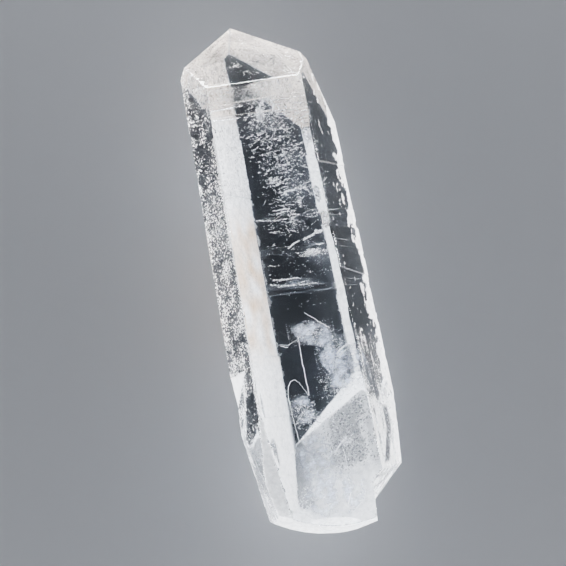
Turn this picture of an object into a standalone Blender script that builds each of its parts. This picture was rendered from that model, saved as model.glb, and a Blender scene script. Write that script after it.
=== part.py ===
"""A single quartz crystal, lying on one of its prism faces with its tip towards +Y.

Six prism faces stand 120 degrees apart round the growth axis, and three rhombohedron faces
close the tip. The crystal was broken from its matrix, so the lower end is a rounded break with
scars where it grew against its neighbours. Lengths are in millimetres, and the finished mesh is
in metres.
"""

import math

import bmesh
import bpy
from mathutils import Matrix, Vector

NAME = "quartz_crystal"
METRE = 0.001

# Growth of the prism. The axis lies along Y, level, at the height of the resting face's distance.
AXIS_HEIGHT = 8.3
BLANK = 120.0
WEAR = 0.12

# One row per prism face: azimuth round the axis from +X towards +Z in degrees, distance from
# the axis at mid-length, and the lean in degrees by which the face closes in towards the tip.
PRISM_FACES = {
    "top": (90, 8.34, 0.56),
    "upper right": (30, 8.77, 0.93),
    "lower right": (-30, 9.74, 1.28),
    "resting": (-90, 8.30, 0.0),
    "lower left": (210, 6.20, 0.55),
    "upper left": (150, 10.66, 1.33),
}

# Rhombohedron faces of quartz stand 51.8 degrees from the base plane, over every second prism
# face. Each row: azimuth, and where the face crosses the growth axis.
RHOMB_SLOPE = 51.8
RHOMB_FACES = {
    "top": (90, 33.5),
    "lower right": (-30, 30.6),
    "lower left": (210, 33.3),
}
# The corner right of the tip is worn down by a small face: azimuth, slope, axis crossing.
CORNER_FACE = (40, 63.0, 42.5)

# The break at the lower end: a shallow dome, and the shell-shaped scoops flaked out of it.
BREAK_CENTRE = (0.9, -12.4, 11.5)
BREAK_RADII = (17.5, 20.0, 18.0)
SCOOPS = (
    ((-8.0, -40.0, 15.0), 10.3),
    ((6.5, -43.6, 12.5), 12.2),
    ((-1.5, -45.0, 5.0), 14.6),
)

# Scars are flat facets given by three points that each passes through. The crystal loses what is
# outside all the facets of a scar, so two facets that face each other leave a notch.
SCARS = {
    # Where a neighbour grew across the lower back: a narrow steep facet, then a long gentle one.
    "neighbour under the foot": (
        ((-2.3, -21.0, 0.0), (6.2, -13.7, 0.0), (5.5, -16.4, 3.6)),
        ((-1.8, -21.0, 0.3), (5.5, -16.4, 3.6), (0.5, -31.5, 5.6)),
    ),
    # The right shoulder of the foot is broken away down to a narrower stub.
    "right shoulder": (
        ((4.6, -26.6, 16.9), (9.95, -25.5, 9.0), (5.4, -29.2, 9.4)),
        ((4.56, -29.1, 14.2), (5.6, -29.2, 9.4), (4.34, -31.8, 14.2)),
    ),
    # The left shoulder steps in twice, more gently.
    "left shoulder": (
        ((-8.86, -23.5, 15.4), (-8.87, -23.6, 11.5), (-9.7, -19.3, 12.8)),
        ((-8.35, -24.2, 14.0), (-8.35, -24.2, 9.0), (-7.45, -29.8, 12.0)),
    ),
    "left notch": (
        ((-9.85, -11.7, 13.2), (-8.4, -11.3, 15.6), (-9.3, -14.5, 13.0)),
        ((-8.4, -11.3, 15.6), (-9.3, -14.5, 13.0), (-9.69, -18.1, 12.8)),
    ),
    # A long chamfer takes the edge between the top and the upper left face.
    "chamfer on the top left edge": (
        ((-7.55, -16.5, 16.9), (-6.65, -26.0, 16.9), (-8.2, -24.7, 16.2)),
    ),
    "facet on the right": (
        ((5.7, -18.8, 16.6), (8.9, -14.0, 11.1), (8.33, -25.9, 12.05)),
    ),
}

# Growth terraces: thin layers that stop short of the tip or the foot. Each row: the prism face,
# where the layer is missing along Y, how deep it was, and how far its ends run slanted.
TERRACES = (
    ("upper left", 16.9, 28.0, 0.10, 0.05),
    ("upper left", -8.2, 3.4, 0.09, -0.04),
    ("upper right", 4.4, 12.6, 0.14, 0.06),
    ("upper right", -6.0, -1.2, 0.11, -0.05),
    ("lower right", 7.4, 15.0, 0.16, 0.04),
    ("lower right", -9.8, -3.0, 0.14, -0.05),
    ("lower left", 11.0, 18.5, 0.12, 0.04),
    ("lower left", -17.0, -9.5, 0.12, 0.03),
    ("resting", 3.1, 3.9, 0.10, 0.06),
    ("resting", 7.2, 7.8, 0.08, -0.05),
    ("resting", -2.0, -1.3, 0.10, 0.04),
    ("top", 20.6, 21.0, 0.05, 0.03),
    ("top", 19.0, 19.3, 0.05, -0.03),
)

# Nicks broken from the edges: place, size along Y, size across.
NICKS = (
    ((5.0, 23.0, 16.5), 0.9, 0.42),
    ((10.45, 13.5, 7.5), 1.1, 0.40),
    ((10.6, 9.6, 7.4), 0.8, 0.32),
    ((10.6, 5.1, 7.4), 1.3, 0.36),
    ((10.75, 1.0, 7.4), 0.9, 0.42),
    ((10.8, -2.6, 7.4), 1.4, 0.34),
    ((10.9, -7.2, 7.3), 1.0, 0.40),
    ((10.95, -12.0, 7.3), 1.3, 0.36),
    ((-9.55, 18.6, 12.6), 0.8, 0.26),
    ((-9.75, 2.0, 12.8), 0.9, 0.24),
    ((-6.9, 17.9, 16.5), 0.8, 0.22),
    ((5.3, 9.0, 16.55), 0.7, 0.20),
    ((5.45, -21.8, 16.9), 1.0, 0.26),
    ((-5.8, -31.0, 14.0), 0.9, 0.5),
    ((3.4, -32.2, 12.0), 1.2, 0.45),
)


def direction(azimuth, rise):
    """Unit normal at an azimuth round the growth axis, leaning towards the tip by rise degrees."""
    around, up = math.radians(azimuth), math.radians(rise)
    return Vector((math.cos(around) * math.cos(up), math.sin(up), math.sin(around) * math.cos(up)))


def on_axis(y):
    return Vector((0.0, y, AXIS_HEIGHT))


def prism_plane(face):
    azimuth, distance, lean = PRISM_FACES[face]
    return on_axis(0.0) + direction(azimuth, 0.0) * distance, direction(azimuth, lean)


def facet_plane(points):
    """The plane through three points, its normal turned away from the inside of the crystal."""
    a, b, c = (Vector(point) for point in points)
    normal = (b - a).cross(c - a).normalized()
    inside = on_axis(-10.0)
    return a, normal if normal.dot(a - inside) > 0 else -normal


def cleave(bm, point, normal):
    """Cuts away all that lies in front of the plane and closes the cut with one flat face."""
    geometry = bm.verts[:] + bm.edges[:] + bm.faces[:]
    cut = bmesh.ops.bisect_plane(
        bm, geom=geometry, dist=1e-5, plane_co=point, plane_no=normal, clear_outer=True
    )
    rim = [item for item in cut["geom_cut"] if isinstance(item, bmesh.types.BMEdge)]
    bmesh.ops.edgeloop_fill(bm, edges=rim)


def block(size, centre):
    bm = bmesh.new()
    bmesh.ops.create_cube(bm, size=size, matrix=Matrix.Translation(centre))
    return bm


def finish_mesh(bm, name):
    """Turns a bmesh in millimetres into an object in metres, with its faces outward."""
    bmesh.ops.recalc_face_normals(bm, faces=bm.faces[:])
    bmesh.ops.scale(bm, vec=(METRE, METRE, METRE), verts=bm.verts[:])
    mesh = bpy.data.meshes.new(name)
    bm.to_mesh(mesh)
    bm.free()
    return bpy.data.objects.new(name, mesh)


def grown_crystal():
    """The whole crystal as it grew, with a sharp tip and a plain lower end."""
    bm = block(BLANK, on_axis(BLANK / 2 - 34.0))
    for face in PRISM_FACES:
        cleave(bm, *prism_plane(face))
    for azimuth, crossing in RHOMB_FACES.values():
        cleave(bm, on_axis(crossing), direction(azimuth, 90 - RHOMB_SLOPE))
    azimuth, slope, crossing = CORNER_FACE
    cleave(bm, on_axis(crossing), direction(azimuth, 90 - slope))
    worn = [edge for edge in bm.edges if edge.calc_length() > 0.8]
    bmesh.ops.bevel(
        bm, geom=worn, offset=WEAR, offset_type="OFFSET", segments=1, profile=0.5,
        affect="EDGES", material=-1, clamp_overlap=True,
    )
    return finish_mesh(bm, NAME)


def broken_foot():
    """What the break leaves: a shallow dome at the foot, drawn out past the tip."""
    bm = bmesh.new()
    centre = Vector(BREAK_CENTRE)
    shape = Matrix.Translation(centre) @ Matrix.Diagonal((*BREAK_RADII, 1.0))
    turned = Matrix.Rotation(math.pi / 2, 4, "X")
    bmesh.ops.create_uvsphere(
        bm, u_segments=48, v_segments=32, radius=1.0, matrix=shape @ turned
    )
    upper = [vertex for vertex in bm.verts if vertex.co.y > centre.y + 0.01]
    bmesh.ops.translate(bm, vec=(0.0, BLANK / 2, 0.0), verts=upper)
    return finish_mesh(bm, "dome of the foot")


def scar_cutter(name, planes):
    """What a scar takes away: a block cleaved to the space in front of every plane."""
    bm = block(BLANK, on_axis(0.0))
    for point, normal in planes:
        cleave(bm, point, -normal)
    return finish_mesh(bm, name)


def terrace_cutter(index, face, start, end, depth, slant):
    point, normal = prism_plane(face)
    across = normal.cross(Vector((0.0, 1.0, 0.0))).normalized()
    tilt = Vector((0.0, 1.0, 0.0)) + across * slant
    planes = (
        (point - normal * depth, normal),
        (Vector((0.0, start, AXIS_HEIGHT)), tilt.normalized()),
        (Vector((0.0, end, AXIS_HEIGHT)), -tilt.normalized()),
    )
    return scar_cutter(f"terrace_{index:02d}", planes)


def nick_cutter(index, place, length, width):
    bm = bmesh.new()
    shape = Matrix.Translation(place) @ Matrix.Diagonal((width, length / 2, width, 1.0))
    turned = Matrix.Rotation(0.7 * index, 4, "Y")
    bmesh.ops.create_icosphere(bm, subdivisions=2, radius=1.0, matrix=shape @ turned)
    return finish_mesh(bm, f"nick_{index:02d}")


def scoop_cutter(index, centre, radius):
    bm = bmesh.new()
    bmesh.ops.create_icosphere(
        bm, subdivisions=4, radius=radius, matrix=Matrix.Translation(centre)
    )
    return finish_mesh(bm, f"scoop_{index:02d}")


def carve(body, cutter, guides, operation="DIFFERENCE"):
    guides.objects.link(cutter)
    cutter.hide_render = True
    cutter.display_type = "WIRE"
    modifier = body.modifiers.new(cutter.name, "BOOLEAN")
    modifier.operation = operation
    modifier.object = cutter


def stand_on_origin(body):
    """Shares the mesh's own box: its bottom centre becomes the origin."""
    graph = bpy.context.evaluated_depsgraph_get()
    finished = bpy.data.meshes.new_from_object(body.evaluated_get(graph))
    corners = [vertex.co for vertex in finished.vertices]
    low = Vector([min(corner[axis] for corner in corners) for axis in range(3)])
    high = Vector([max(corner[axis] for corner in corners) for axis in range(3)])
    bpy.data.meshes.remove(finished)
    shift = Vector(((low.x + high.x) / 2, (low.y + high.y) / 2, low.z))
    return -shift


def clear_quartz():
    material = bpy.data.materials.new("clear quartz")
    material.use_nodes = True
    shader = material.node_tree.nodes["Principled BSDF"]
    shader.inputs["Base Color"].default_value = (0.93, 0.94, 0.95, 1.0)
    shader.inputs["Roughness"].default_value = 0.05
    shader.inputs["Metallic"].default_value = 0.0
    shader.inputs["IOR"].default_value = 1.544
    shader.inputs["Transmission Weight"].default_value = 1.0
    return material


def main():
    for leftover in list(bpy.data.objects):
        bpy.data.objects.remove(leftover, do_unlink=True)
    crystal = bpy.data.collections.new("quartz crystal")
    guides = bpy.data.collections.new("cutters")
    for collection in (crystal, guides):
        bpy.context.scene.collection.children.link(collection)

    body = grown_crystal()
    crystal.objects.link(body)
    body.data.materials.append(clear_quartz())

    for name, facets in SCARS.items():
        carve(body, scar_cutter(name, [facet_plane(points) for points in facets]), guides)
    for index, terrace in enumerate(TERRACES):
        carve(body, terrace_cutter(index, *terrace), guides)
    carve(body, broken_foot(), guides, "INTERSECT")
    for index, scoop in enumerate(SCOOPS):
        carve(body, scoop_cutter(index, *scoop), guides)
    for index, nick in enumerate(NICKS):
        carve(body, nick_cutter(index, *nick), guides)

    shift = stand_on_origin(body)
    for item in [body, *guides.objects]:
        item.location = shift


main()
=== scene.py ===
"""Looks of one clear quartz crystal that lies on a pale floor, seen from above.

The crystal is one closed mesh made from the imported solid: its flat faces are cut fine enough to
carry growth lines, etch pits and worn edges. Veils, flecks and healed cracks lie inside it. The
growth axis runs along Y with the tip towards +Y. Lengths are in millimetres unless a comment says
otherwise. A place "on the top face" is where the camera sees a thing through that face.
"""

import math
import random
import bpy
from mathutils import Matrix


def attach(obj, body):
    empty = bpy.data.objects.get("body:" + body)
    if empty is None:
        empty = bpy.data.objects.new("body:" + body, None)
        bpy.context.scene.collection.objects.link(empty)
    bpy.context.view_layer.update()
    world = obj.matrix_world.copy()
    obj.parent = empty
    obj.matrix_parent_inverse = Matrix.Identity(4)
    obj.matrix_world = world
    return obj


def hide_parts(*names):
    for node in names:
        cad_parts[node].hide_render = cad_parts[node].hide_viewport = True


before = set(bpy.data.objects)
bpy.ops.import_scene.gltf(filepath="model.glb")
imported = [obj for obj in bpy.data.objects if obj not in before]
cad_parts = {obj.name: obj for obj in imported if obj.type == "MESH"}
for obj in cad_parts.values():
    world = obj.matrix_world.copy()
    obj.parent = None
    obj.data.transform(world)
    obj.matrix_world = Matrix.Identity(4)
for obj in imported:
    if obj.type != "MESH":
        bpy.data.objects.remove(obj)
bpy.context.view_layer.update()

from types import SimpleNamespace

import bmesh
import bpy
from mathutils import Matrix, Vector, noise

MM = 0.001
NODE = "quartz_crystal"
QUARTZ_IOR = 1.544

# The top face leans a little to the tip: a point on it and its normal.
TOP_FACE = (Vector((-0.54, 0.0, 16.64)), Vector((0.0, 0.0098, 0.99995)))

# Camera: nearly above the top face, a little from the left and from the foot.
AIM = Vector((-2.6, -1.8, 16.6))
CAMERA_DISTANCE = 200.2
YAW, PITCH, ROLL = math.radians(-10.5), math.radians(7.0), math.radians(10.75)
LENS = 106.1
SENSOR = 36.0
FORWARD = Vector((
    -math.sin(YAW) * math.cos(PITCH), math.sin(PITCH), -math.cos(YAW) * math.cos(PITCH)
))
EYE = AIM - FORWARD * CAMERA_DISTANCE

# A ring of soft light stands round the horizon, and the sky above it is dim. Degrees of height.
RING_TOP, RING_SOFT = 11.0, 8.0
RING_STRENGTH = 19.0
SKY_STRENGTH = 0.008
LAMP_WHITE = "#FCFDFF"
EXPOSURE = 0.5

# The card under the crystal: half its side in metres, and how far it lies under the crystal.
CARD_HALF = 3.0
CARD_GAP = 0.02

# Light that the hazy body scatters away is taken out by absorption, in this colour, per metre.
BODY_COLOR = "#BEC3C9"
BODY_DENSITY = 72.0

# Frost is white, cream where iron has stained it, and grey in random patches this far apart.
# Past a speckle of about 2 it turns grey all over, which on the contact facet is painted shade.
# It hides this much of the clear body where it is whole, is this rough, and lets this share of
# its light through.
FROST_WHITE = "#F7F7F7"
IRON_STAIN = "#E0C8AE"
FROST_GREY_AND_PAINTED_SHADE = "#5F6064"
FROST_PATCH = 0.55
FROST_HIDES = 0.85
FROST_ROUGHNESS = 0.5
FROST_THROUGH = 0.7
FILM_THROUGH = 0.5

# Real etch grains, veil hollows and droplets are a few hundredths of a millimetre or less, which
# can't show in the render, so these patterns are drawn coarser, with features this far apart.
ETCH_GRAIN = 0.24
VEIL_HOLLOWS = 0.36
HAZE_GRAIN = 0.3

# Directions of the grown faces, by the azimuth of the normal round the growth axis from +X
# towards +Z. Prism faces lean to the tip by an angle in PRISM_LEAN, and tip faces by more. The
# reach is how far the normal may stand from the azimuth given. All are in degrees.
PRISM = {
    90: "top", 30: "upper right", -30: "lower right",
    -90: "resting", -150: "lower left", 150: "upper left",
}
TIP = {90: "tip top", -30: "tip right", -150: "tip left", 40: "tip corner"}
PRISM_LEAN = (-1.5, 4.0)
PRISM_REACH, TIP_REACH = 5.0, 14.0

# Facets of the foot and the scars, by their normals, and the cosine within which one is meant.
FACETS = {
    "contact facet": (0.538, -0.283, -0.794),
    "contact step": (0.596, -0.694, -0.404),
    "right break": (0.615, -0.722, 0.316),
    "right stub": (0.974, -0.079, 0.213),
    "left shoulder": (-0.981, -0.192, 0.007),
    "left stub": (-0.987, -0.159, 0.0),
    "notch above": (-0.824, -0.200, 0.531),
    "notch below": (-0.971, 0.093, 0.222),
    "chamfer": (-0.440, -0.042, 0.897),
}
SAME_FACET = 0.994

# Frost is the share of a face that is etched dull, milk how white that part is, warm how cream,
# and speckle how far the frost breaks up into grains. Past about 2, speckle also greys the frost,
# which on the grainy side of the contact facet is painted shade.
VALUES = ("frost", "milk", "warm", "speckle")
SURFACES = {
    "top": (0.02, 0.6, 0.0, 1.2),
    "upper right": (0.07, 0.85, 0.1, 1.2),
    "lower right": (0.92, 1.15, 0.05, 0.6),
    "resting": (0.0, 0.9, 0.0, 1.6),
    "lower left": (0.88, 1.0, 0.1, 0.5),
    "upper left": (0.42, 0.95, 0.05, 1.6),
    "tip top": (0.14, 0.6, 0.4, 0.9),
    "tip right": (0.62, 0.72, 0.6, 1.7),
    "tip left": (0.6, 0.72, 0.65, 1.7),
    "tip corner": (0.22, 0.7, 0.3, 1.2),
    "contact facet": (0.62, 0.75, 0.0, 0.3),
    "contact step": (1.0, 1.15, 0.0, 0.0),
    "right break": (0.5, 0.9, 0.0, 1.0),
    "right stub": (0.6, 0.9, 0.0, 0.8),
    "left shoulder": (0.42, 0.8, 0.0, 0.6),
    "left stub": (0.5, 0.85, 0.0, 0.5),
    "notch above": (1.0, 1.0, 0.0, 0.2),
    "notch below": (0.5, 0.8, 0.0, 1.3),
    "chamfer": (0.9, 0.7, 0.0, 2.6),
    "broken": (0.72, 0.9, 0.0, 1.0),
}
SMOOTH_FACES = ("top", "resting", "upper right", "tip top")

# The solid's points are welded and its flat faces joined again, before they are cut along a grid
# of this spacing and the slivers between two cuts are taken out.
WELD = 0.001
FLAT = math.radians(0.5)
GRID = 0.33
SLIVER = 0.003

# Edges that turn by more than the first are worn white, and those past the second shade as sharp.
WORN_EDGE = math.radians(12)
SHARP_EDGE = math.radians(24)

# Relief under the flat faces: waves of the smooth ones, pits and fine pits of the etched ones,
# growth lines across the prism, 1.2 mm apart or LINE_TURN radians per mm, the grain of a break,
# the nicks of a worn edge, and the edges of the tip.
WAVE_DEPTH = 0.006
PIT_DEPTH, FINE_PIT_DEPTH = 0.03, 0.012
LINE_DEPTH = 0.01
LINE_TURN = 5.2
BREAK_DEPTH = 0.06
NICK_DEPTH = 0.05
TIP_EDGE_DEPTH = 0.01

# The resting face runs between these places across the crystal, and its rims are ragged.
RESTING_RIMS = (-3.04, 6.13)

# The slanting prism faces: the height of their outer rim, and how far they rise from it.
RIM_HEIGHT, SLANT_RISE = 8.4, 8.2

# Ovals on the lower right face that were never etched: centre on the top face, half widths.
CLEAR_OVALS = (((3.75, 16.0), (0.36, 0.95)), ((3.95, 5.1), (0.4, 0.75)), ((3.6, 8.3), (0.3, 0.8)))

# Flecks: corners to choose from, how steeply they lean in radians, how ragged their rims are, and
# how many one batch makes.
FLECK_CORNERS = (5, 6, 7)
FLECK_LEAN = 1.1
FLECK_RAGGED = (-0.6, 0.35)
FLECK_BATCH = 120

# How densely a fleck covers, and how far it is drawn out, in a cloud and in a wisp. Those of a
# cloud are turned by this many radians, give or take the second number.
CLOUD_COVER, CLOUD_STRETCH = (0.6, 1.0), (1.2, 3.4)
CLOUD_TURN = (0.1, 0.7)
WISP_COVER, WISP_STRETCH = (0.7, 1.0), (1.5, 3.0)
SEED = 7

# Clouds of flecks: middle on the top face, half widths, depths, count, sizes.
CLOUDS = (
    ((-0.8, 17.4), (4.4, 2.6), (0.5, 5.0), 700, (0.02, 0.10)),
    ((-1.6, 20.6), (2.2, 1.4), (0.5, 3.0), 260, (0.02, 0.09)),
    ((0.2, 13.4), (4.0, 2.4), (0.5, 6.0), 560, (0.02, 0.095)),
    ((0.8, 9.8), (3.8, 2.4), (1.0, 7.0), 320, (0.02, 0.09)),
    ((-3.0, 25.6), (0.5, 0.3), (2.6, 3.0), 22, (0.05, 0.12)),
    ((-2.1, 24.5), (0.9, 0.3), (2.0, 2.4), 22, (0.04, 0.10)),
    ((-3.6, 25.4), (0.9, 1.4), (2.6, 3.6), 56, (0.02, 0.06)),
    ((-0.6, 24.2), (1.2, 0.5), (1.8, 2.4), 30, (0.02, 0.06)),
    ((0.4, 5.0), (4.0, 4.0), (1.0, 7.0), 360, (0.015, 0.075)),
    ((0.0, -1.0), (4.0, 4.0), (1.0, 8.0), 240, (0.015, 0.065)),
    ((-1.52, 19.0), (0.42, 0.75), (0.7, 1.1), 200, (0.07, 0.15)),
    ((-1.4, 10.6), (0.9, 0.6), (0.8, 1.6), 110, (0.04, 0.09)),
    ((1.3, 7.9), (0.3, 0.8), (1.0, 1.6), 60, (0.03, 0.08)),
    ((0.1, 6.2), (0.5, 1.6), (1.0, 1.8), 100, (0.03, 0.075)),
    ((1.6, 1.3), (1.8, 0.45), (0.8, 1.4), 190, (0.04, 0.10)),
    ((-0.4, -8.2), (2.8, 1.4), (1.0, 4.0), 900, (0.015, 0.06)),
    ((1.8, -11.2), (2.2, 2.8), (1.0, 4.0), 1100, (0.015, 0.06)),
    ((1.6, -15.0), (2.6, 1.8), (1.0, 4.0), 600, (0.02, 0.075)),
    ((-3.2, -17.3), (1.6, 2.0), (0.6, 3.0), 460, (0.02, 0.08)),
    ((-1.4, -19.0), (2.6, 1.6), (0.6, 3.0), 300, (0.03, 0.08)),
    ((1.4, -21.8), (0.8, 0.6), (0.5, 1.4), 70, (0.05, 0.11)),
    ((-0.1, -22.9), (0.6, 0.4), (0.5, 1.4), 40, (0.04, 0.10)),
    ((1.2, -21.8), (2.4, 4.0), (0.5, 2.5), 420, (0.02, 0.07)),
)

# Wisps: both ends on the top face, depth, flecks along it, half width, fleck size. None comes
# nearer to the top face than WISP_TOP.
WISPS = (
    ((-1.6, 15.6), (1.8, 15.9), 2.0, 60, 0.10, 0.06),
    ((-2.2, 14.2), (1.2, 14.4), 2.4, 56, 0.08, 0.06),
    ((0.2, 13.6), (2.4, 14.5), 1.5, 50, 0.08, 0.06),
    ((-2.0, 12.1), (1.0, 12.4), 3.0, 50, 0.08, 0.05),
    ((-0.5, 9.0), (1.0, 9.3), 1.8, 50, 0.08, 0.08),
    ((1.0, 9.3), (2.2, 9.4), 1.6, 40, 0.08, 0.08),
    ((2.2, 9.4), (3.2, 8.1), 1.6, 40, 0.08, 0.07),
    ((-2.1, 7.1), (-0.1, 7.0), 1.6, 70, 0.05, 0.08),
    ((-2.7, 6.8), (-0.2, 6.6), 2.6, 60, 0.10, 0.06),
    ((-4.4, 6.1), (-0.6, 5.8), 3.0, 80, 0.07, 0.06),
    ((-1.1, 2.3), (0.4, 3.0), 1.4, 80, 0.07, 0.08),
    ((0.9, 2.9), (2.5, 3.7), 1.3, 100, 0.08, 0.09),
    ((2.5, 3.7), (3.7, 4.0), 1.2, 110, 0.14, 0.10),
    ((-3.8, 0.5), (-2.7, 0.3), 2.4, 30, 0.06, 0.05),
    ((-3.7, -1.3), (-0.6, -1.5), 1.8, 100, 0.04, 0.08),
    ((-4.2, -1.9), (1.6, -2.5), 2.8, 130, 0.08, 0.06),
    ((-3.4, -2.2), (0.6, -2.1), 3.0, 80, 0.06, 0.05),
    ((-1.35, 20.1), (-0.8, 20.75), 0.9, 90, 0.12, 0.12),
    ((-0.9, 20.8), (0.0, 20.8), 0.9, 120, 0.12, 0.12),
    ((0.0, 20.7), (0.4, 20.2), 0.9, 70, 0.09, 0.10),
    ((0.45, 19.9), (-0.1, 19.1), 0.9, 80, 0.08, 0.10),
)
WISP_TOP = 0.55

# Short streaks strewn over the window: their number, their places across and along it, lengths,
# depths, half width and fleck sizes.
STREAKS = 80
STREAK_PLACES = ((-3.6, 3.2), (0.5, 20.0))
STREAK_LENGTHS = (0.4, 1.8)
STREAK_DEPTHS = (1.5, 5.0)
STREAK_HALF = 0.04
STREAK_FLECKS = (0.03, 0.07)

# Soft films: middle on the top face, half widths, depth, turn, cover, rise per mm. Each is a grid
# of FILM_CELLS a side, and none comes nearer to the top face than FILM_TOP.
FILMS = (
    ((-0.8, 17.8), (3.8, 2.6), 3.0, 0.1, 0.10, 0.8),
    ((0.6, 12.8), (3.0, 2.4), 4.5, 0.2, 0.14, 0.8),
    ((1.2, 9.6), (2.4, 2.0), 5.0, 0.2, 0.24, 0.8),
    ((1.9, 0.9), (1.8, 2.0), 4.0, 0.2, 0.26, 0.8),
    ((-1.2, -2.2), (3.4, 0.8), 3.0, 0.0, 0.3, 0.8),
    ((-0.2, -8.4), (2.8, 1.6), 2.2, -0.35, 1.1, 0.9),
    ((1.8, -11.0), (1.9, 2.8), 3.0, 0.3, 1.2, 0.9),
    ((1.5, -12.0), (1.5, 2.2), 4.2, 0.5, 1.0, 0.9),
    ((2.2, -14.2), (1.8, 1.7), 2.8, 0.4, 1.0, 0.9),
    ((-3.1, -17.2), (1.6, 1.8), 2.2, 0.0, 0.88, 0.9),
    ((-1.2, -27.6), (4.4, 3.0), 3.4, 0.0, 0.7, 0.8),
    ((-2.6, -23.5), (2.6, 4.0), 2.6, 0.1, 0.62, 0.8),
    ((4.4, -13.0), (1.1, 4.2), 3.4, 0.1, 0.60, 0.4),
)
FILM_CELLS = 24
FILM_TOP = 0.4

# A healed crack that runs up the left of the window and bends over.
LOOP = (
    (-4.2, -20.8), (-4.4, -18.8), (-4.5, -16.8), (-4.5, -15.2), (-4.3, -14.2), (-3.9, -13.6),
    (-3.4, -13.5), (-3.0, -13.9), (-2.6, -14.6), (-2.1, -15.6),
)

# Cracks seen on edge: points on the top face, depth of their upper edge, height, apparent width.
# Each stretch between two points has CRACK_STEPS places, jittered this far to either side.
CRACKS = (
    (((-2.1, -8.4), (-2.15, -11.8), (-2.1, -15.6)), 1.4, 2.0, 0.10),
    (((-0.8, -5.8), (0.1, -6.5), (0.7, -7.1), (1.9, -8.1)), 1.2, 1.0, 0.09),
    (((2.2, -11.4), (3.0, -10.8), (3.8, -10.4)), 1.0, 0.8, 0.20),
    (((2.5, -11.7), (3.3, -11.1), (3.9, -10.9)), 1.2, 0.8, 0.10),
    (LOOP, 1.2, 0.8, 0.09),
    (((-4.6, -9.1), (-3.4, -9.3), (-2.1, -8.8)), 1.5, 0.8, 0.05),
    (((-4.4, -9.3), (-3.5, -9.6)), 0.8, 0.5, 0.09),
    (((0.6, -27.8), (0.3, -28.5), (-0.1, -29.4)), 0.5, 0.8, 0.12),
    (((-0.3, -23.0), (0.6, -22.0), (1.5, -21.3)), 0.7, 0.5, 0.18),
    (((0.7, -22.4), (0.9, -24.8)), 0.7, 0.5, 0.06),
    (((-7.1, 18.3), (-6.5, 18.4), (-5.4, 18.2)), 0.5, 0.6, 0.06),
)
CRACK_STEPS = 8
CRACK_JITTER = 0.02


def linear(code):
    """sRGB hex colour to the linear values that a shader takes."""
    parts = [int(code[i:i + 2], 16) / 255 for i in (1, 3, 5)]
    return (*[c / 12.92 if c <= 0.04045 else ((c + 0.055) / 1.055) ** 2.4 for c in parts], 1.0)


def per_metre(spacing):
    """Scale of a texture on Object coordinates whose features lie this many millimetres apart."""
    return 1.0 / (spacing * MM)


def node(tree, kind, settings=None, give=0, **inputs):
    """Adds a shader node, sets what settings names, and gives back one of its outputs.

    Each input is linked or set by its name, or by its number as _0, _1 and so on.
    """
    made = tree.nodes.new("ShaderNode" + kind)
    for name, value in (settings or {}).items():
        setattr(made, name, value)
    for name, value in inputs.items():
        key = int(name[1:]) if name[1:].isdigit() else name.replace("_", " ")
        socket = made.inputs[key]
        if isinstance(value, bpy.types.NodeSocket):
            tree.links.new(value, socket)
        else:
            socket.default_value = value
    return made.outputs[give]


def new_object(name, mesh):
    made = bpy.data.objects.new(name, mesh)
    bpy.context.scene.collection.objects.link(made)
    return made


def new_material(name):
    material = bpy.data.materials.new(name)
    material.use_nodes = True
    tree = material.node_tree
    return material, tree, tree.nodes["Principled BSDF"], tree.nodes["Material Output"]


def place_camera():
    right = FORWARD.cross(Vector((0, 1, 0))).normalized()
    up = right.cross(FORWARD)
    turn = Matrix((right, up, -FORWARD)).transposed().to_4x4()
    data = bpy.data.cameras.new("camera")
    data.lens = LENS
    data.sensor_width = SENSOR
    data.clip_start = 0.005
    camera = new_object("camera", data)
    camera.matrix_world = Matrix.Translation(EYE * MM) @ turn @ Matrix.Rotation(-ROLL, 4, "Z")
    bpy.context.scene.camera = camera


def light_the_room():
    world = bpy.data.worlds.new("studio")
    world.use_nodes = True
    tree = world.node_tree
    sight = node(tree, "TexCoord", give="Generated")
    height = node(tree, "SeparateXYZ", give="Z", Vector=sight)
    low, high = (math.sin(math.radians(RING_TOP + side * RING_SOFT / 2)) for side in (-1, 1))
    level = node(
        tree, "MapRange", {"interpolation_type": "SMOOTHSTEP"}, Value=height,
        From_Min=low, From_Max=high, To_Min=RING_STRENGTH, To_Max=SKY_STRENGTH,
    )
    background = tree.nodes["Background"]
    background.inputs["Color"].default_value = linear(LAMP_WHITE)
    tree.links.new(level, background.inputs["Strength"])
    scene = bpy.context.scene
    scene.world = world
    scene.view_settings.view_transform = "AgX"
    scene.view_settings.look = "AgX - Very High Contrast"
    scene.view_settings.exposure = EXPOSURE


def card():
    """Matt uncoated card: it gives an even pale ground with next to no shine."""
    material, _, shader, _ = new_material("matt pale card")
    shader.inputs["Base Color"].default_value = linear("#929498")
    shader.inputs["Roughness"].default_value = 0.9
    shader.inputs["Specular IOR Level"].default_value = 0.1
    return material


def floor():
    bm = bmesh.new()
    bmesh.ops.create_grid(bm, x_segments=1, y_segments=1, size=CARD_HALF)
    bmesh.ops.translate(bm, vec=(0, 0, -CARD_GAP * MM), verts=bm.verts)
    mesh = bpy.data.meshes.new("floor")
    bm.to_mesh(mesh)
    bm.free()
    mesh.materials.append(card())
    new_object("floor", mesh)


def scatter(tree, color, through):
    """A white surface that sends light back and lets a share of it through."""
    back = node(tree, "BsdfDiffuse", Color=color)
    front = node(tree, "BsdfTranslucent", Color=color)
    return node(tree, "MixShader", _0=through, _1=back, _2=front)


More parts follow.
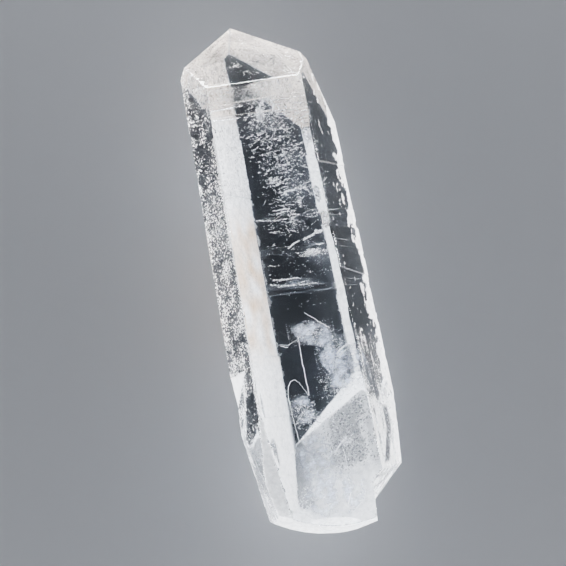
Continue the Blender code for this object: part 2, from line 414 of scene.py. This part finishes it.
def frost_level(tree, place, frost, speckle):
    """How dull the surface is: even at speckle 0, and parted into grains and gaps above it."""
    grain = node(
        tree, "TexNoise", Vector=place, Scale=per_metre(ETCH_GRAIN), Detail=3.0, Roughness=0.6
    )
    grain = node(tree, "MapRange", Value=grain, From_Min=0.3, From_Max=0.7)
    spread = node(tree, "Math", {"operation": "ADD"}, _0=speckle, _1=1.0)
    whole = node(tree, "Math", {"operation": "MULTIPLY"}, _0=frost, _1=spread)
    gaps = node(tree, "Math", {"operation": "MULTIPLY"}, _0=grain, _1=speckle)
    return node(tree, "Math", {"operation": "SUBTRACT", "use_clamp": True}, _0=whole, _1=gaps)


def frost_color(tree, place, warm, speckle):
    """White to cream, grey in patches, and all grey past a speckle of 2: painted shade on the
    contact facet.
    """
    stained = node(
        tree, "Mix", {"data_type": "RGBA"}, 2,
        _0=warm, _6=linear(FROST_WHITE), _7=linear(IRON_STAIN),
    )
    patch = node(
        tree, "TexNoise", Vector=place, Scale=per_metre(FROST_PATCH), Detail=4.0, Roughness=0.65
    )
    patch = node(tree, "MapRange", Value=patch, From_Min=0.4, From_Max=0.62)
    # Past a speckle of about 2 the frost turns grey all over: painted shade on the grainy side of
    # the contact facet.
    grey_and_painted_shade = node(
        tree, "Math", {"operation": "MULTIPLY_ADD", "use_clamp": True},
        _0=speckle, _1=0.8, _2=-1.7,
    )
    uneven = node(tree, "Math", {"operation": "MULTIPLY_ADD"}, _0=speckle, _1=0.28, _2=0.03)
    uneven = node(tree, "Math", {"operation": "MINIMUM"}, _0=uneven, _1=0.28)
    grey_share = node(
        tree, "Math", {"operation": "MULTIPLY_ADD", "use_clamp": True},
        _0=patch, _1=uneven, _2=grey_and_painted_shade,
    )
    return node(
        tree, "Mix", {"data_type": "RGBA"}, 2, _0=grey_share, _6=stained, _7=linear(FROST_GREY_AND_PAINTED_SHADE)
    )


def quartz():
    """Natural quartz, grown and then etched in the ground.

    Its grown faces are clear as water and mirror what is round them. The etched ones are dull
    and white with a grain like fine sugar, and let the light of their surroundings through.
    """
    material, tree, shader, output = new_material("clear quartz, grown and etched")
    shader.inputs["Base Color"].default_value = (1, 1, 1, 1)
    shader.inputs["IOR"].default_value = QUARTZ_IOR
    shader.inputs["Transmission Weight"].default_value = 1.0
    place = node(tree, "TexCoord", give="Object")
    frost, milk, warm, speckle = (
        node(tree, "Attribute", {"attribute_name": name}, "Fac") for name in VALUES
    )
    level = frost_level(tree, place, frost, speckle)
    roughness = node(tree, "MapRange", Value=level, To_Min=0.0, To_Max=FROST_ROUGHNESS)
    tree.links.new(roughness, shader.inputs["Roughness"])
    white = scatter(tree, frost_color(tree, place, warm, speckle), FROST_THROUGH)
    share = node(tree, "Math", {"operation": "MULTIPLY"}, _0=level, _1=milk)
    share = node(tree, "Math", {"operation": "MULTIPLY"}, _0=share, _1=FROST_HIDES)
    body = node(tree, "MixShader", _0=share, _1=shader.outputs[0], _2=white)
    tree.links.new(body, output.inputs["Surface"])
    haze = node(tree, "VolumeAbsorption", Color=linear(BODY_COLOR), Density=BODY_DENSITY)
    tree.links.new(haze, output.inputs["Volume"])
    return material


def film_material(name):
    """A new material without its usual shader, with a place and how densely a film covers it."""
    material, tree, shader, output = new_material(name)
    tree.nodes.remove(shader)
    place = node(tree, "TexCoord", give="Object")
    thick = node(tree, "Attribute", {"attribute_name": "cover"}, "Fac")
    return material, tree, output, place, thick


def show_film(tree, output, cover, color):
    gap = node(tree, "BsdfTransparent")
    white = scatter(tree, linear(color), FILM_THROUGH)
    film = node(tree, "MixShader", _0=cover, _1=gap, _2=white)
    tree.links.new(film, output.inputs["Surface"])


def veil_material():
    """Healed fractures, lined with tiny hollows full of fluid: torn films that shine white."""
    material, tree, output, place, thick = film_material("fluid veil in quartz")
    hollows = node(
        tree, "TexNoise", Vector=place, Scale=per_metre(VEIL_HOLLOWS), Detail=4.0, Roughness=0.65
    )
    hollows = node(tree, "MapRange", Value=hollows, From_Min=0.3, From_Max=0.7)
    whole = node(tree, "Math", {"operation": "MULTIPLY"}, _0=thick, _1=1.4)
    above = node(tree, "Math", {"operation": "SUBTRACT"}, _0=whole, _1=hollows)
    cover = node(tree, "Math", {"operation": "MULTIPLY", "use_clamp": True}, _0=above, _1=1.3)
    show_film(tree, output, cover, "#FAFBFD")
    return material


def haze_material():
    """Clouds of droplets far too small to see: a soft bluish haze with a fine grain."""
    material, tree, output, place, thick = film_material("droplet haze in quartz")
    grain = node(
        tree, "TexNoise", Vector=place, Scale=per_metre(HAZE_GRAIN), Detail=4.0, Roughness=0.7
    )
    grain = node(
        tree, "MapRange", Value=grain, From_Min=0.35, From_Max=0.65, To_Min=1.3, To_Max=0.45
    )
    cover = node(tree, "Math", {"operation": "MULTIPLY", "use_clamp": True}, _0=thick, _1=grain)
    show_film(tree, output, cover, "#E4EAF6")
    return material


def turned(angle):
    """The same direction as an angle from -180 to 180 degrees."""
    return (angle + 180.0) % 360.0 - 180.0


def face_name(normal):
    """Which grown face or broken surface a triangle belongs to, from its normal."""
    for name, facing in FACETS.items():
        if normal.dot(Vector(facing)) > SAME_FACET:
            return name
    lean = math.degrees(math.asin(max(-1.0, min(1.0, normal.y))))
    around = math.degrees(math.atan2(normal.z, normal.x))
    least, most = PRISM_LEAN
    table, reach = (PRISM, PRISM_REACH) if least < lean < most else (TIP, TIP_REACH)
    nearest = min(table, key=lambda azimuth: abs(turned(around - azimuth)))
    if lean > least and abs(turned(around - nearest)) < reach:
        return table[nearest]
    return "broken"


def near(value, start, end, soft):
    """1 between start and end, falling to 0 over soft on either side."""
    inside = min((value - start) / soft + 1.0, (end - value) / soft + 1.0)
    return max(0.0, min(1.0, inside))


def patches(p, size):
    """Soft noise from -1 to 1 whose patches are about this many millimetres wide."""
    return noise.noise(p / size)


def streaks(p):
    """The same noise drawn out along the growth axis."""
    return noise.noise(Vector((p.x / 0.7, p.y / 5.0, p.z / 0.7)))


def seen_at(x, y, depth):
    """The point that the camera sees through the top face at x, y, so deep under it."""
    point, normal = TOP_FACE
    entry = Vector((x, y, point.z - (y - point.y) * normal.y / normal.z))
    sight = (entry - EYE).normalized()
    slope = sight.dot(normal)
    along = sight - normal * slope
    inner = along / QUARTZ_IOR
    inner -= normal * math.sqrt(1.0 - inner.length_squared)
    return entry + inner * (depth / -inner.dot(normal))


def seen_through_top(p):
    """Where on the top face the camera sees a point that lies under it."""
    x, y = p.x, p.y
    for _ in range(3):
        reached = seen_at(x, y, TOP_FACE[0].z - p.z)
        x += p.x - reached.x
        y += p.y - reached.y
    return x, y


def rim_share(height, width, soft):
    """1 on the outer rim of a slanting prism face, 0 towards the top face."""
    return near((height - RIM_HEIGHT) / SLANT_RISE, -1.0, width, soft)


# Each of the next functions varies the surface values over one face, in zones that near() gives:
# along the growth axis by p.y, where the tip is at 32 and the foot at -32, and across it by p.x
# and p.z.


def etch_top(look, p):
    """Clear, but dulled under the tip."""
    left_of_tip = near(p.y, 21.4, 23.2, 2.0) * near(p.x, -9.0, -0.3, 2.0)
    under_tip = near(p.y, 18.0, 24.0, 3.0)
    look.frost += 0.46 * left_of_tip + 0.1 * patches(p, 0.8) * under_tip
    look.frost += 0.03 * near(p.y, 15.0, 22.0, 3.0)
    look.speckle -= 0.6 * near(p.y, 20.6, 23.2, 1.5)


def etch_resting(look, p):
    """Clear, with ragged white rims."""
    rim = min(p.x - RESTING_RIMS[0], RESTING_RIMS[1] - p.x)
    ragged = 0.1 + 0.45 * patches(p, 0.8) + 0.2 * patches(p, 2.2)
    look.frost += 0.85 * near(rim, -1.0, ragged, 0.4)


def etch_upper_left(look, p):
    """Grainy, with a whiter outer rim, thinner near the tip and beside the notch."""
    tip_half = near(p.y, 12.0, 30.0, 3.0)
    above_notch = near(p.y, -30.0, -14.8, 0.6) * near(p.z, 13.2, 17.0, 0.5)
    look.frost += 0.34 * rim_share(p.z, 0.18 + 0.15 * patches(p, 0.8), 0.15)
    look.frost += 0.09 * patches(p, 2.2) - 0.06 * tip_half - 0.13 * above_notch
    look.speckle += 0.5 * tip_half


def etch_lower_left(look, p):
    """White, cream in its middle and at the tip, and clear where the scars cut its outer rim."""
    stain = max(0.0, 0.45 + 0.7 * patches(p, 2.2)) * near(p.y, -7.0, 6.0, 4.0)
    look.warm += stain + 0.5 * near(p.y, 22.0, 40.0, 2.0)
    look.frost += 0.12 * patches(p, 0.8)
    look.frost -= 0.12 * near(p.y, 11.0, 22.0, 4.0) + 0.3 * near(p.y, 23.0, 40.0, 1.5)
    notch_rim = near(p.z, 6.8, 9.0, 0.5) * near(p.y, -19.0, -14.5, 1.0)
    foot_rim = near(p.z, 4.9, 8.0, 0.5) * near(p.y, -34.0, -20.5, 1.0)
    look.frost -= 0.8 * (notch_rim + foot_rim)
    look.speckle += 0.9 * near(p.y, 13.0, 30.0, 3.0)


def etch_upper_right(look, p):
    """Clear, with a ragged white outer rim, a few crumbs, and a frosted foot with a grey slit."""
    ragged = 0.11 + 0.3 * patches(p, 1.6) + 0.14 * patches(p, 0.6)
    crumbs = max(0.0, patches(p, 0.6) + 0.5 * patches(p, 2.2) - 0.44)
    foot = near(p.y, -40.0, -10.0, 2.5)
    above_foot = near(p.y, -9.0, 24.0, 3.0)
    slit = near(p.x - 7.9 + 0.42 * max(0.0, -21.0 - p.y), -0.4, 0.4, 0.3)
    slit *= near(p.y, -24.8, -18.4, 0.8)
    look.frost += 0.8 * rim_share(p.z, ragged, 0.1)
    look.frost += (0.3 + 0.4 * streaks(p)) * foot
    look.frost += min(0.5, 3.0 * crumbs) * above_foot
    look.frost += 0.25 * near(p.y, -40.0, -18.0, 1.5) * (1.0 - slit)
    look.frost += (0.62 - look.frost) * slit
    look.milk += 0.3 * slit
    look.speckle += 2.0 * slit
    look.frost += 0.12 * near(p.y, 21.5, 30.0, 1.5)


def etch_lower_right(look, p):
    """White but for three clear ovals and a thinner foot."""
    foot = near(p.y, -34.0, -15.5, 1.2)
    look.frost += 0.1 * patches(p, 2.2) - 0.5 * foot
    look.speckle += 0.9 * foot
    x, y = seen_through_top(p)
    for centre, half in CLEAR_OVALS:
        away = math.hypot((x - centre[0]) / half[0], (y - centre[1]) / half[1])
        look.frost -= 0.95 * near(away, 0.45, 1.1, 0.35)
        look.speckle -= 0.5 * near(away, 0.0, 1.1, 0.35)


def etch_contact(look, p):
    """The large facet under the foot: milky to the left, grainy to the right with painted shade.
    """
    drift = patches(p, 2.2)
    x, y = seen_through_top(p)
    x, y = x + 0.8 * drift, y + 0.8 * patches(p, 1.1)
    # Painted shade: here speckle passes 2 and milk rises, so the frost is drawn grey for the shade
    # seen through the foot.
    painted_shade = near(x, 0.6 + 0.18 * (y + 17.0), 3.3, 1.4) * near(y, -24.2, -17.6, 1.6)
    pale = near(y, -40.0, -26.8, 2.6)
    clear_edge = near(p.x, -5.0, -2.3, 0.6) * near(p.y, -28.5, -21.0, 1.0)
    look.frost = 0.62 - 0.04 * painted_shade + 0.34 * pale + 0.18 * drift - 0.5 * clear_edge
    look.milk = 0.68 + 0.4 * pale + 0.4 * painted_shade
    look.speckle = 0.15 + 2.5 * painted_shade + 0.4 * pale


def etch_scar(look, p):
    """A scar: patchy, and streaked along the growth axis."""
    look.frost += 0.35 * patches(p, 2.2) + 0.35 * streaks(p)


def etch_broken(look, p):
    """Dull at the foot, and clear along the chipped middle."""
    look.frost += 0.15 * patches(p, 2.2) + 0.15 * near(p.y, -34.0, -28.0, 2.0)
    look.frost -= 0.6 * near(p.y, -13.0, 21.0, 1.0)


def etch_tip(look, p):
    """Patchy, with a faint grey smudge below the apex."""
    smudge = near(p.y, 29.5, 31.0, 0.7) * near(p.x, -1.9, 0.6, 0.8)
    look.frost += 0.16 * patches(p, 2.2) + 0.1 * patches(p, 0.8)
    look.speckle += 0.9 * smudge


SCARS = ("notch below", "left shoulder", "left stub", "right break", "right stub")
ETCHING = {
    "top": etch_top, "resting": etch_resting,
    "upper left": etch_upper_left, "lower left": etch_lower_left,
    "upper right": etch_upper_right, "lower right": etch_lower_right,
    "contact facet": etch_contact, "broken": etch_broken,
    **dict.fromkeys(SCARS, etch_scar),
    **dict.fromkeys(TIP.values(), etch_tip),
}


def surface_at(name, p):
    """Frost, milk, warmth and speckle of this face at a point in millimetres."""
    look = SimpleNamespace(**dict(zip(VALUES, SURFACES[name])))
    if name in ETCHING:
        ETCHING[name](look, p)
    look.frost = max(0.0, min(1.0, look.frost))
    return [getattr(look, value) for value in VALUES]


def relief(name, p):
    """How far the surface lies under its flat face, in millimetres."""
    if name in SMOOTH_FACES:
        return WAVE_DEPTH + WAVE_DEPTH * patches(p, 3.5)
    pits = PIT_DEPTH * max(0.0, patches(p, 0.7)) + FINE_PIT_DEPTH * max(0.0, patches(p, 0.35))
    if name in PRISM.values():
        line = math.sin(p.y * LINE_TURN + 3.0 * patches(p, 4.0))
        return pits + LINE_DEPTH * (0.5 + 0.5 * line)
    if name in TIP.values():
        return 0.3 * pits
    return pits + BREAK_DEPTH * (0.5 + 0.5 * patches(p, 1.8))


def vertex_look(names, normals, p):
    """Surface values and relief where these faces meet.

    Worn edges are white and nicked, those of the tip less so, and a prism face keeps its own frost
    up to the broken surfaces beside it.
    """
    looks = [surface_at(name, p) for name in names]
    mean = [sum(column) / len(looks) for column in zip(*looks)]
    depth = max(relief(name, p) for name in names)
    grown = [name for name in names if name != "broken"]
    if len(grown) == 1 and grown[0] in PRISM.values():
        mean[0] = surface_at(grown[0], p)[0] + 0.2 * patches(p, 1.2)
    elif max(normals[0].angle(normal, 0.0) for normal in normals) > WORN_EDGE:
        ragged = 0.5 * patches(p, 0.9)
        if any(name in TIP.values() for name in names):
            mean[:2] = max(mean[0], 0.05 + ragged), 0.5
            depth = TIP_EDGE_DEPTH
        else:
            mean[:2] = max(mean[0], 0.42 + ragged), 0.95
            depth += NICK_DEPTH * abs(patches(p, 0.5))
    return mean, depth


def cut_grid(bm, step):
    """Parts every face along a grid of planes, so that it can carry relief and still be flat."""
    for axis in (1, 0, 2):
        values = [vertex.co[axis] for vertex in bm.verts]
        low, high = min(values), max(values)
        count = int((high - low) / (step * MM))
        across = Vector((0.0, 0.0, 0.0))
        across[axis] = 1.0
        for index in range(1, count + 1):
            place = across * (low + (high - low) * index / (count + 1))
            everything = bm.verts[:] + bm.edges[:] + bm.faces[:]
            bmesh.ops.bisect_plane(bm, geom=everything, dist=1e-7, plane_co=place, plane_no=across)


def cut_solid(mesh):
    """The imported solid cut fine, with the normal and name of the flat face under each cell."""
    bm = bmesh.new()
    bm.from_mesh(mesh)
    bmesh.ops.remove_doubles(bm, verts=bm.verts, dist=WELD * MM)
    bmesh.ops.dissolve_limit(bm, angle_limit=FLAT, verts=bm.verts, edges=bm.edges)
    bm.normal_update()
    planes = [(face.normal.copy(), face_name(face.normal)) for face in bm.faces]
    mark = bm.faces.layers.int.new("plane")
    for index, face in enumerate(bm.faces):
        face[mark] = index
    cut_grid(bm, GRID)
    bmesh.ops.dissolve_degenerate(bm, dist=SLIVER * MM, edges=bm.edges)
    bm.normal_update()
    return bm, planes


def wear(bm, planes):
    """Sets the surface values of every vertex and sinks it by its relief."""
    mark = bm.faces.layers.int["plane"]
    layers = [bm.verts.layers.float.new(name) for name in VALUES]
    moves = []
    for vertex in bm.verts:
        around = {face[mark] for face in vertex.link_faces}
        names = sorted({planes[index][1] for index in around})
        normals = [planes[index][0] for index in around]
        values, depth = vertex_look(names, normals, vertex.co / MM)
        for layer, value in zip(layers, values):
            vertex[layer] = value
        moves.append(vertex.normal * (-depth * MM))
    for vertex, move in zip(bm.verts, moves):
        vertex.co += move


def crystal():
    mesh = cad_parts[NODE].data.copy()
    bm, planes = cut_solid(mesh)
    wear(bm, planes)
    for face in bm.faces:
        face.smooth = True
    bm.to_mesh(mesh)
    bm.free()
    mesh.set_sharp_from_angle(angle=SHARP_EDGE)
    mesh.materials.clear()
    mesh.materials.append(quartz())
    made = new_object("crystal", mesh)
    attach(made, "root")
    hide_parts(NODE)


def new_films():
    bm = bmesh.new()
    bm.verts.layers.float.new("cover")
    return bm


def finish_films(bm, name, material):
    bmesh.ops.scale(bm, vec=(MM, MM, MM), verts=bm.verts[:])
    mesh = bpy.data.meshes.new(name)
    bm.to_mesh(mesh)
    bm.free()
    mesh.materials.append(material)
    made = new_object(name, mesh)
    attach(made, "root")


def fleck(bm, rng, centre, size, cover, stretch, heading):
    """One small irregular film that faces roughly upwards."""
    tilt = Matrix.Rotation(rng.uniform(-FLECK_LEAN, FLECK_LEAN), 4, "X")
    tilt @= Matrix.Rotation(rng.uniform(-FLECK_LEAN, FLECK_LEAN), 4, "Y")
    place = Matrix.Translation(centre) @ Matrix.Rotation(heading, 4, "Z") @ tilt
    drawn_out = Matrix.Diagonal((size * stretch, size, size, 1.0))
    shape = place @ drawn_out @ Matrix.Rotation(rng.uniform(0, 6.28), 4, "Z")
    made = bmesh.ops.create_circle(
        bm, cap_ends=True, segments=rng.choice(FLECK_CORNERS), radius=1.0, matrix=shape
    )
    layer = bm.verts.layers.float["cover"]
    for vertex in made["verts"]:
        vertex.co += (vertex.co - centre) * rng.uniform(*FLECK_RAGGED)
        vertex[layer] = cover


def in_batches(bm, count, make):
    """Calls make with small meshes that join bm, as an operator slows down in a large one."""
    while count > 0:
        batch = new_films()
        for _ in range(min(count, FLECK_BATCH)):
            make(batch)
        mesh = bpy.data.meshes.new("batch")
        batch.to_mesh(mesh)
        batch.free()
        bm.from_mesh(mesh)
        bpy.data.meshes.remove(mesh)
        count -= FLECK_BATCH


def cloud(bm, rng, centre, half, depths, count, sizes):
    """Flecks strewn round a middle, more thickly towards it."""
    def make(batch):
        x, y = (
            middle + max(-1.0, min(1.0, rng.gauss(0, 0.5))) * reach
            for middle, reach in zip(centre, half)
        )
        spot = seen_at(x, y, rng.uniform(*depths))
        size = rng.uniform(*sizes)
        cover = rng.uniform(*CLOUD_COVER)
        fleck(batch, rng, spot, size, cover, rng.uniform(*CLOUD_STRETCH), rng.gauss(*CLOUD_TURN))

    in_batches(bm, count, make)


def wisp(bm, rng, start, end, depth, count, half, size):
    """A short row of flecks that reads as one torn thread."""
    heading = math.atan2(end[1] - start[1], end[0] - start[0])

    def make(batch):
        t = rng.random()
        wave = half * 1.2 * math.sin(5.0 * t + start[0])
        x = start[0] + (end[0] - start[0]) * t
        y = start[1] + (end[1] - start[1]) * t + wave + rng.gauss(0, half * 0.6)
        spot = seen_at(x, y, max(WISP_TOP, depth + rng.gauss(0, 0.3)))
        scale = size * rng.uniform(0.5, 1.1)
        cover = rng.uniform(*WISP_COVER)
        fleck(batch, rng, spot, scale, cover, rng.uniform(*WISP_STRETCH), heading)

    in_batches(bm, count, make)


def strewn_streaks(bm, rng):
    """Short threads, more of them towards the tip."""
    (left, right), (low, high) = STREAK_PLACES
    for _ in range(STREAKS):
        x = rng.uniform(left, right)
        y = high - (high - low) * rng.random() ** 1.4
        length = rng.uniform(*STREAK_LENGTHS)
        angle = rng.gauss(0.12, 0.3)
        end = (x + length * math.cos(angle), y + length * math.sin(angle))
        depth = rng.uniform(*STREAK_DEPTHS)
        count = int(10 + 14 * length)
        wisp(bm, rng, (x, y), end, depth, count, STREAK_HALF, rng.uniform(*STREAK_FLECKS))


def film(bm, rng, centre, half, depth, turn, cover, rise):
    """A soft sheet of fluid veil that is torn, and thins out towards its rim."""
    made = bmesh.ops.create_grid(bm, x_segments=FILM_CELLS, y_segments=FILM_CELLS, size=1.0)
    layer = bm.verts.layers.float["cover"]
    offset = rng.uniform(0, 50)
    for vertex in made["verts"]:
        a, b = vertex.co.x, vertex.co.y
        x, y = a * half[0], b * half[1]
        x, y = x * math.cos(turn) - y * math.sin(turn), x * math.sin(turn) + y * math.cos(turn)
        place = Vector((x, y, offset))
        torn = 0.75 + 1.5 * patches(place, 1.1) + 0.8 * patches(place, 0.5)
        vertex[layer] = cover * torn * max(0.0, 1.0 - (a * a + b * b)) ** 0.8
        under = max(FILM_TOP, depth + 0.5 * patches(place, 2.0) - rise * y)
        vertex.co = seen_at(centre[0] + x, centre[1] + y, under)


def fine_line(points):
    """The same line with CRACK_STEPS places on each of its stretches."""
    fine = []
    for start, end in zip(points, points[1:]):
        for step in range(CRACK_STEPS):
            t = step / CRACK_STEPS
            fine.append((start[0] + (end[0] - start[0]) * t, start[1] + (end[1] - start[1]) * t))
    return fine + [points[-1]]


def crack(bm, rng, points, depth, height, width):
    """A crack that stands nearly along the line of sight, and so shows as a fine bright line."""
    fine = fine_line(points)
    heading = Vector((fine[-1][0] - fine[0][0], fine[-1][1] - fine[0][1])).normalized()
    jitters = [rng.gauss(0, CRACK_JITTER) for _ in fine]
    last = len(fine) - 1
    made = bmesh.ops.create_grid(bm, x_segments=last, y_segments=1, size=1.0)
    layer = bm.verts.layers.float["cover"]
    for vertex in made["verts"]:
        index = round((vertex.co.x + 1.0) / 2.0 * last)
        x, y = (value + jitters[index] for value in fine[index])
        if vertex.co.y < 0.0:
            vertex.co = seen_at(x, y, depth)
            vertex[layer] = 1.0
        else:
            vertex.co = seen_at(x - heading.y * width, y + heading.x * width, depth + height)
            vertex[layer] = 0.9


def veils():
    """Everything that lies inside the crystal, as four pieces of open films."""
    rng = random.Random(SEED)
    white_film = veil_material()
    bm = new_films()
    for shape in CLOUDS:
        cloud(bm, rng, *shape)
    finish_films(bm, "flecks", white_film)
    bm = new_films()
    for shape in WISPS:
        wisp(bm, rng, *shape)
    strewn_streaks(bm, rng)
    finish_films(bm, "wisps", white_film)
    bm = new_films()
    for shape in FILMS:
        film(bm, rng, *shape)
    finish_films(bm, "soft_veils", haze_material())
    bm = new_films()
    for shape in CRACKS:
        crack(bm, rng, *shape)
    finish_films(bm, "healed_cracks", white_film)


place_camera()
light_the_room()
floor()
crystal()
veils()
